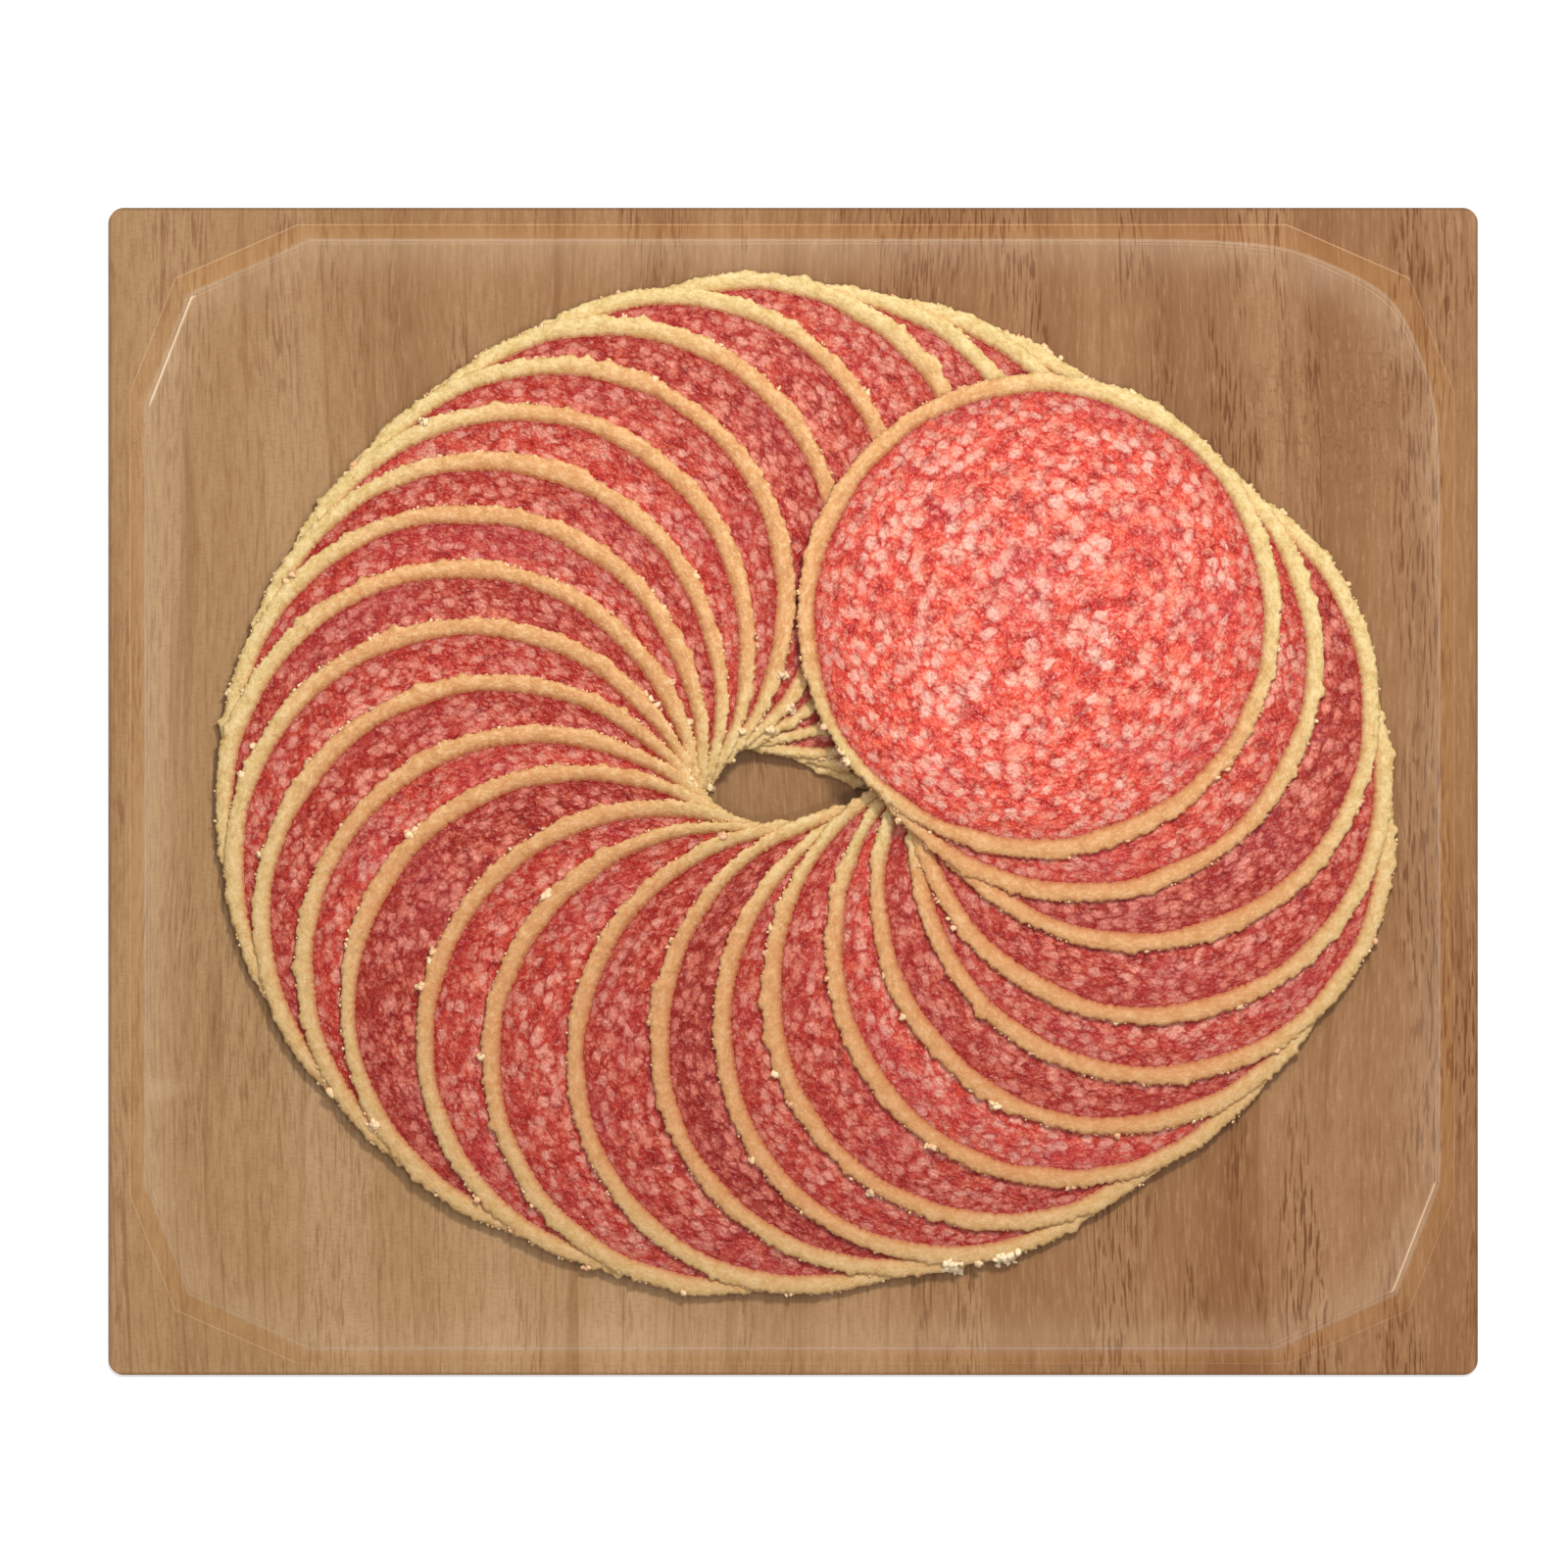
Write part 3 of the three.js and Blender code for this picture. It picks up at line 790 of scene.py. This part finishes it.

# The outline's twelve sides are counted anticlockwise from the right side's upper end. Two carry
# a painted highlight along their shoulder, four have walls made hazier as painted light, and seven
# have a brighter line at their foot, also painted light.
SIDES = 12
PAINTED_HIGHLIGHT_SIDES = (4, 10)
PAINTED_HIGHLIGHT_STRENGTH = 0.75
LEFT_SIDES = (3, 4, 5, 6)
LIT_LINES = (1, 2, 3, 4, 5, 6, 7)
SOFT_CORNER = 1
SOFTENINGS = 60


def foot_outline(blunting):
    """The dome's outline at its foot. Blunting, up to 1 at the top, cuts the corners more."""
    x, y = FOOT_LENGTH / 2, FOOT_WIDTH / 2
    cut = CORNER_CUT + 1.9 * MM * blunting
    point = (x - CORNER_POINT_X - 0.3 * MM * blunting, y - CORNER_POINT_Y - 0.9 * MM * blunting)
    corner = [(x, y - cut), point, (x - cut, y)]
    upper = corner + [(-px, py) for px, py in reversed(corner)]
    return np.array(upper + [(-px, -py) for px, py in upper])


def moved_in(outline, distance):
    """A convex outline, anticlockwise, moved in by a distance."""
    before = outline - np.roll(outline, 1, axis=0)
    after = np.roll(outline, -1, axis=0) - outline

    def inward(edge):
        turned = np.column_stack([-edge[:, 1], edge[:, 0]])
        return turned / np.linalg.norm(turned, axis=1)[:, None]

    n1, n2 = inward(before), inward(after)
    scale = distance / (1 + (n1 * n2).sum(axis=1))
    return outline + (n1 + n2) * scale[:, None]


def fine_outline(outline):
    """The outline with each side cut into equal steps."""
    after = np.roll(outline, -1, axis=0)
    shares = np.arange(OUTLINE_STEPS) / OUTLINE_STEPS
    points = outline[:, None, :] + (after - outline)[:, None, :] * shares[None, :, None]
    return points.reshape(-1, 2)


def softened(ring):
    """The ring with one corner rounded off, where the film wasn't drawn fully into the mould."""
    corner = OUTLINE_STEPS * SOFT_CORNER
    half = len(ring) // 2
    steps = np.abs((np.arange(len(ring)) - corner + half) % len(ring) - half)
    weight = smooth_step(OUTLINE_STEPS * 1.3, OUTLINE_STEPS * 0.5, steps)[:, None]
    for _ in range(SOFTENINGS):
        bend = np.roll(ring, 1, axis=0) + np.roll(ring, -1, axis=0) - 2 * ring
        ring = ring + weight * 0.25 * bend
    return ring


def dome_rows():
    """The dome's section from its foot inwards.

    Each row has an inset, a height, a haze, the extra haze of a painted highlight, and a warmth.
    """
    low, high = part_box("dome")
    flange = low.z + FLANGE_THICKNESS
    shoulder = high.z - SHOULDER_DROP
    rows = [
        (-0.12 * MM, flange, 0.0, 0.0, 0.0),
        (-0.05 * MM, flange, 0.24, 0.0, 0.4),
        (0.05 * MM, flange + 0.05 * MM, 0.24, 0.0, 0.4),
        (0.14 * MM, flange + 0.3 * MM, 0.035, 0.0, 1.0),
    ]
    for share in (0.3, 0.6, 0.92):
        rows.append((WALL_LEAN * share, flange + (shoulder - flange) * share, 0.035, 0.0, 1.0))
    # Over the shoulder: its turn as a share of a right angle, the haze, and the share of the
    # painted highlight.
    turns = (
        (0.0, 0.055, 0.0), (0.45, 0.055, 0.0), (0.54, 0.07, 0.4), (0.58, 0.17, 1.0),
        (0.62, 0.17, 1.0), (0.66, 0.09, 0.3), (0.8, 0.085, 0.0), (1.0, 0.082, 0.0),
    )
    for turn, haze, highlight_share in turns:
        angle = turn * math.pi / 2
        inset = WALL_LEAN + SHOULDER_INSET * (1 - math.cos(angle))
        rows.append((inset, shoulder + SHOULDER_DROP * math.sin(angle), haze, highlight_share, 0.0))
    # Over the flat top: millimetres in from the shoulder, and the haze.
    steps = (
        (1.0, 0.074), (2.0, 0.055), (3.2, 0.033), (4.6, 0.015), (6.5, 0.006), (12.0, 0.004),
        (30.0, 0.004),
    )
    for step, haze in steps:
        rows.append((WALL_LEAN + SHOULDER_INSET + step * MM, high.z, haze, 0.0, 0.0))
    return rows


def sheet_outline():
    """The pack's own outline, a rectangle with round corners."""
    low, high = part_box("dome")
    points = []
    for corner in range(4):
        x = high.x if corner in (0, 3) else low.x
        y = high.y if corner in (0, 1) else low.y
        middle_x = x - math.copysign(PACK_CORNER_RADIUS, x)
        middle_y = y - math.copysign(PACK_CORNER_RADIUS, y)
        for step in range(CORNER_STEPS + 1):
            angle = (corner + step / CORNER_STEPS) * math.pi / 2
            points.append((
                middle_x + PACK_CORNER_RADIUS * math.cos(angle),
                middle_y + PACK_CORNER_RADIUS * math.sin(angle),
            ))
    return points


def make_dome(film):
    """The dome and its flange as one thin skin of clear film."""
    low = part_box("dome")[0]
    mesh = bmesh.new()
    haze_layer = mesh.verts.layers.float.new("haze")
    warmth_layer = mesh.verts.layers.float.new("warmth")

    def loop_of(points, haze, warmth):
        loop = []
        for point, point_haze in zip(points, haze):
            vertex = mesh.verts.new(point)
            vertex[haze_layer] = point_haze
            vertex[warmth_layer] = warmth
            loop.append(vertex)
        return loop

    def skin(outer, inner):
        for step in range(len(outer)):
            after = (step + 1) % len(outer)
            mesh.faces.new((outer[step], outer[after], inner[after], inner[step]))

    count = SIDES * OUTLINE_STEPS
    side = np.repeat(np.arange(SIDES), OUTLINE_STEPS)
    # Painted highlights along the shoulder of two sides, the first of them brighter.
    painted_highlight = np.where(side == PAINTED_HIGHLIGHT_SIDES[0], 1.0, 0.6) * np.isin(side, PAINTED_HIGHLIGHT_SIDES)
    painted_highlight[np.array(PAINTED_HIGHLIGHT_SIDES) * OUTLINE_STEPS + OUTLINE_STEPS - 1] = 0.6
    # Painted light: the walls on the four left sides are hazier.
    left = 1 + 0.9 * np.isin(side, LEFT_SIDES)
    # Painted light: the line at the foot is brighter on seven sides, half as bright on the rest.
    lines = np.where(np.isin(side, LIT_LINES), 1.0, 0.5)
    unevenness = 1 + 0.25 * round_noise(np.arange(count) * 2 * math.pi / count, 2, 30, 0.4)
    loops = []
    for inset, height, haze, highlight_share, warmth in dome_rows():
        blunting = min(1.0, max(0.0, inset / (WALL_LEAN + SHOULDER_INSET * 0.4)))
        ring = fine_outline(moved_in(foot_outline(blunting), inset)) + FOOT_OFFSET
        if inset > WALL_LEAN * 0.5:
            ring = softened(ring)
        band = left if warmth == 1.0 else lines if warmth > 0 else unevenness
        ring_haze = haze * band + highlight_share * painted_highlight * PAINTED_HIGHLIGHT_STRENGTH
        points = [(x, y, height) for x, y in ring]
        loops.append(loop_of(points, np.clip(ring_haze, 0, 0.95), warmth))
    for outer, inner in zip(loops, loops[1:]):
        skin(outer, inner)
    mesh.faces.new(loops[-1])

    # The flange, from the foot out to the sheet's edge and down to the sheet.
    flange = low.z + FLANGE_THICKNESS
    around = sheet_outline()
    edge = loop_of([(x, y, flange) for x, y in around], [0.004] * len(around), 0.0)
    under = loop_of([(x, y, low.z + 0.02 * MM) for x, y in around], [0.1] * len(around), 0.0)
    skin(under, edge)
    rims = []
    for loop in (loops[0], edge):
        for step in range(len(loop)):
            pair = (loop[step], loop[(step + 1) % len(loop)])
            rims.append(mesh.edges.get(pair) or mesh.edges.new(pair))
    bmesh.ops.triangle_fill(mesh, use_beauty=True, use_dissolve=False, edges=rims)
    bmesh.ops.recalc_face_normals(mesh, faces=mesh.faces)
    data = bpy.data.meshes.new("clear_dome")
    mesh.to_mesh(data)
    mesh.free()
    data.materials.append(film)
    piece = bpy.data.objects.new("clear_dome", data)
    bpy.context.collection.objects.link(piece)
    piece.visible_shadow = False
    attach(piece, "root")
    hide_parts("dome")
    return piece


# ---------------------------------------------------------------- stage


# The pack's width as a share of the view's, the camera's height over it, and where the view's
# middle lies from the pack's.
PACK_SHARE = 0.873125
CAMERA_HEIGHT = 2.5
VIEW_OFFSET = (-1.36 * MM, 1.07 * MM)

FLOOR_REACH = 3


def make_camera():
    """Straight above the pack with a long lens, as the pack is shown."""
    low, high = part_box("backing")
    camera = bpy.data.cameras.new("camera")
    camera.sensor_width = 36
    field = (high.x - low.x) / PACK_SHARE
    camera.lens = camera.sensor_width * CAMERA_HEIGHT / field
    camera.clip_end = 20
    view = bpy.data.objects.new("camera", camera)
    middle_x, middle_y = (low.x + high.x) / 2, (low.y + high.y) / 2
    view.location = (
        middle_x + VIEW_OFFSET[0], middle_y + VIEW_OFFSET[1], high.z + CAMERA_HEIGHT,
    )
    bpy.context.collection.objects.link(view)
    bpy.context.scene.camera = view


def add_area_light(name, azimuth, elevation, distance, size, power, colour=(1, 1, 1)):
    """A square lamp aimed at the pack. Azimuth is measured anticlockwise from +X."""
    lamp = bpy.data.lights.new(name, "AREA")
    lamp.size = size
    lamp.energy = power
    lamp.color = colour
    light = bpy.data.objects.new(name, lamp)
    a, e = math.radians(azimuth), math.radians(elevation)
    toward = Vector((math.cos(a) * math.cos(e), math.sin(a) * math.cos(e), math.sin(e)))
    light.location = toward * distance
    light.rotation_euler = (-toward).to_track_quat("-Z", "Y").to_euler()
    bpy.context.collection.objects.link(light)


def make_stage():
    """A plain pale floor, a white surrounding and four soft lamps."""
    reach = FLOOR_REACH
    corners = [(-reach, -reach, 0), (reach, -reach, 0), (reach, reach, 0), (-reach, reach, 0)]
    floor = mesh_object("floor", corners, [(0, 1, 2, 3)], [])
    floor.location.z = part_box("backing")[0].z - 0.05 * MM
    nodes = Nodes("floor")
    nodes.set(Base_Color=(0.97, 0.97, 0.97, 1), Roughness=0.9, Specular_IOR_Level=0.2)
    nodes.set(Emission_Color=(1, 1, 1, 1), Emission_Strength=0.25)
    floor.data.materials.append(nodes.material)

    world = bpy.data.worlds.new("world")
    world.use_nodes = True
    background = world.node_tree.nodes["Background"]
    background.inputs["Color"].default_value = (1, 1, 1, 1)
    background.inputs["Strength"].default_value = 0.4
    bpy.context.scene.world = world

    add_area_light("key", 68, 57, 0.72, 0.085, 3.35, (1.0, 0.985, 0.96))
    add_area_light("glint", -38, 72, 1.2, 0.03, 1.9)
    add_area_light("sheen", 46, 76, 1.2, 0.05, 0.9)
    add_area_light("fill", 120, 60, 1.4, 0.9, 2.1)
    bpy.context.scene.view_settings.view_transform = "Standard"


# ---------------------------------------------------------------- the pack

make_camera()
make_stage()

MEAT = meat_material()
CRUST = crust_material()
for number in range(len(PLACES)):
    make_slice(number, MEAT, CRUST)
make_crumbs(crumb_material())

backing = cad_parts["backing"]
backing.data.materials.clear()
backing.data.materials.append(backing_material())
make_dome(film_material())
